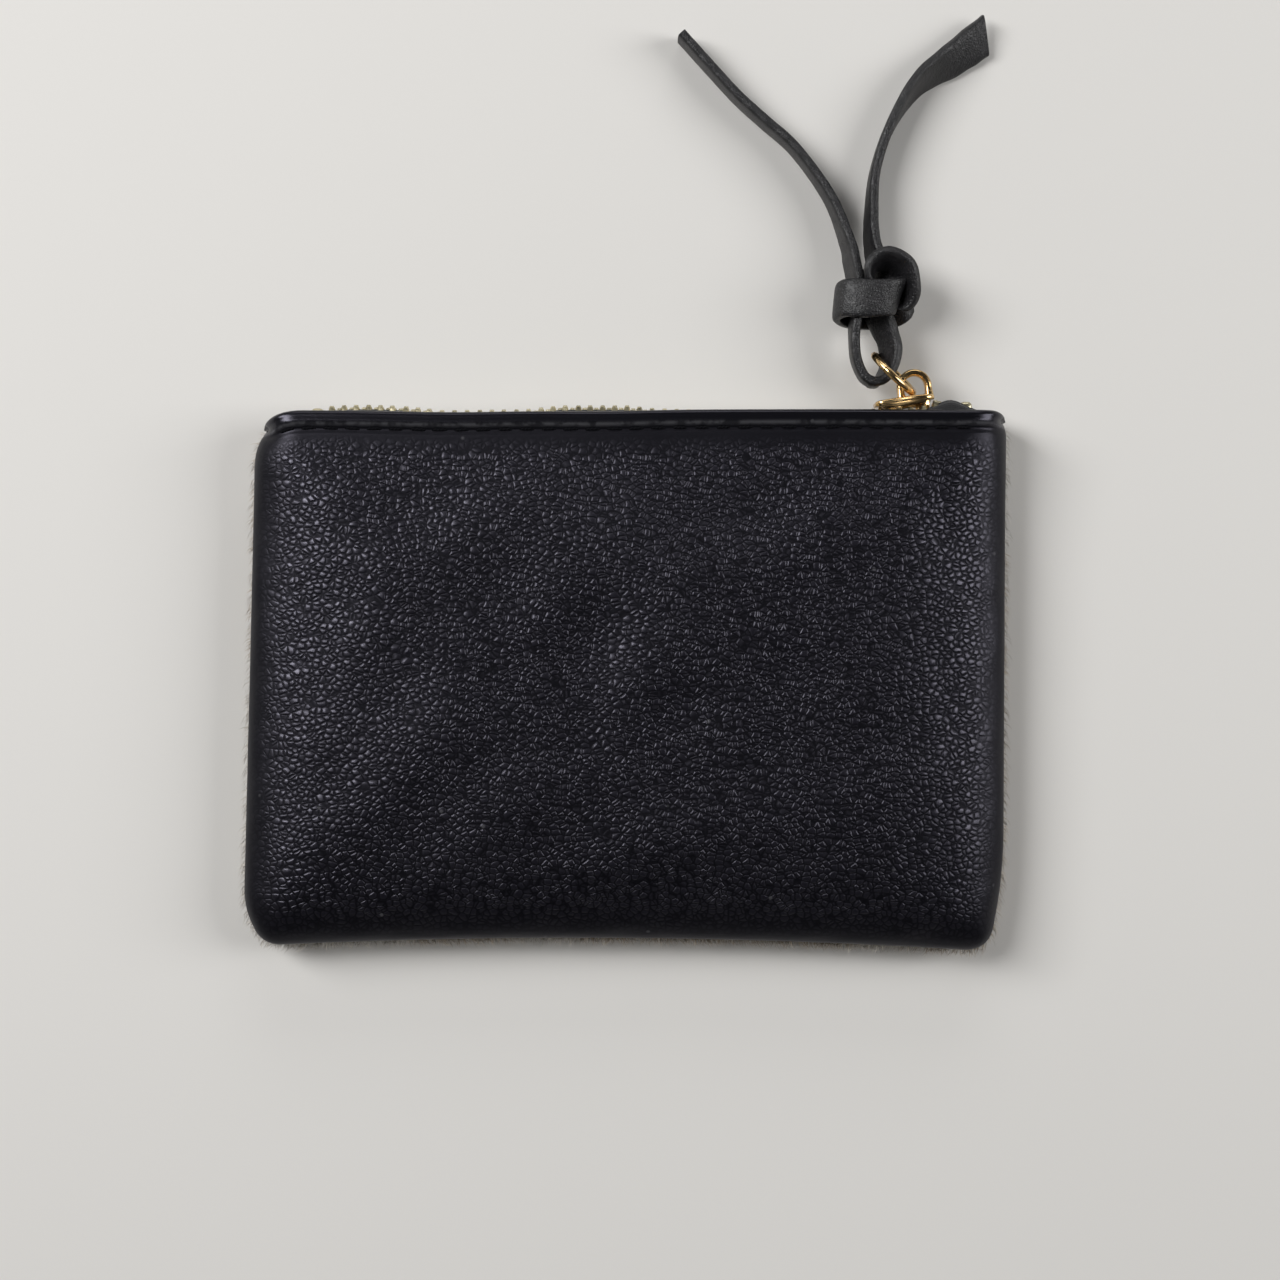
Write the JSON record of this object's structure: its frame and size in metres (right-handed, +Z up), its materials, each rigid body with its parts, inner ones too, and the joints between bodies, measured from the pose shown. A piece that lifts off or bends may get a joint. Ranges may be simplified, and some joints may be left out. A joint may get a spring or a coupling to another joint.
{
  "type": "zip treat pouch",
  "caption": "Small flat zip pouch of pebbled black leather with a hair-on hide back, metal zip and knotted leather lace pull.",
  "frame": {"origin": "middle of the flat patch of the back panel that the pouch rests on when it lies on its back", "axes": "+X along the zip towards its closed end, +Y from the bottom seam towards the zip, +Z up through the front panel"},
  "size_m": [0.126, 0.1539, 0.015],
  "materials": {
    "black_leather": "pebbled, semi-matt",
    "hair_on_hide": "short laid hair, grey-white with tan and dark patches",
    "lining_cloth": "plain weave, matt",
    "black_thread": "waxed thread",
    "zip_tape": "herringbone woven tape, matt",
    "tooth_metal": "pale brass, polished",
    "gold_metal": "warm gold plate, polished",
    "lace_leather": "smooth, fine grain, satin"
  },
  "bodies": {
    "pouch": {"front_panel": "black_leather", "back_panel": "hair_on_hide", "front_lining": "lining_cloth", "back_lining": "lining_cloth", "front_topstitch": "black_thread", "back_topstitch": "black_thread", "zip_tape_front": "zip_tape", "zip_tape_back": "zip_tape", "zip_teeth_front": "tooth_metal", "zip_teeth_back": "tooth_metal", "bottom_stop": "tooth_metal", "top_stop_front": "tooth_metal", "top_stop_back": "tooth_metal"},
    "slider": {"slider_body": "gold_metal", "slider_bridge": "gold_metal"},
    "ring": {"pull_ring": "gold_metal"},
    "lace": {"lace_loop": "lace_leather", "lace_knot": "lace_leather", "lace_tail_left": "lace_leather", "lace_tail_right": "lace_leather"}
  },
  "joints": [
    {"name": "slider_travel", "type": "slide", "parent": "pouch", "child": "slider", "axis": [1, 0, 0], "range_m": [-0.09, 0.003], "deforming": ["zip_teeth_front", "zip_teeth_back", "zip_tape_front", "zip_tape_back"]},
    {"name": "ring_swing", "type": "hinge", "parent": "slider", "child": "ring", "pos_m": [0.04695, 0.04738, 0.0075], "axis": [0, 0, 1], "range_deg": [-56, 12]},
    {"name": "lace_swing", "type": "hinge", "parent": "ring", "child": "lace", "pos_m": [0.04062, 0.05349, 0.0075], "axis": [0, 0, 1], "range_deg": [-24, 15]}
  ]
}
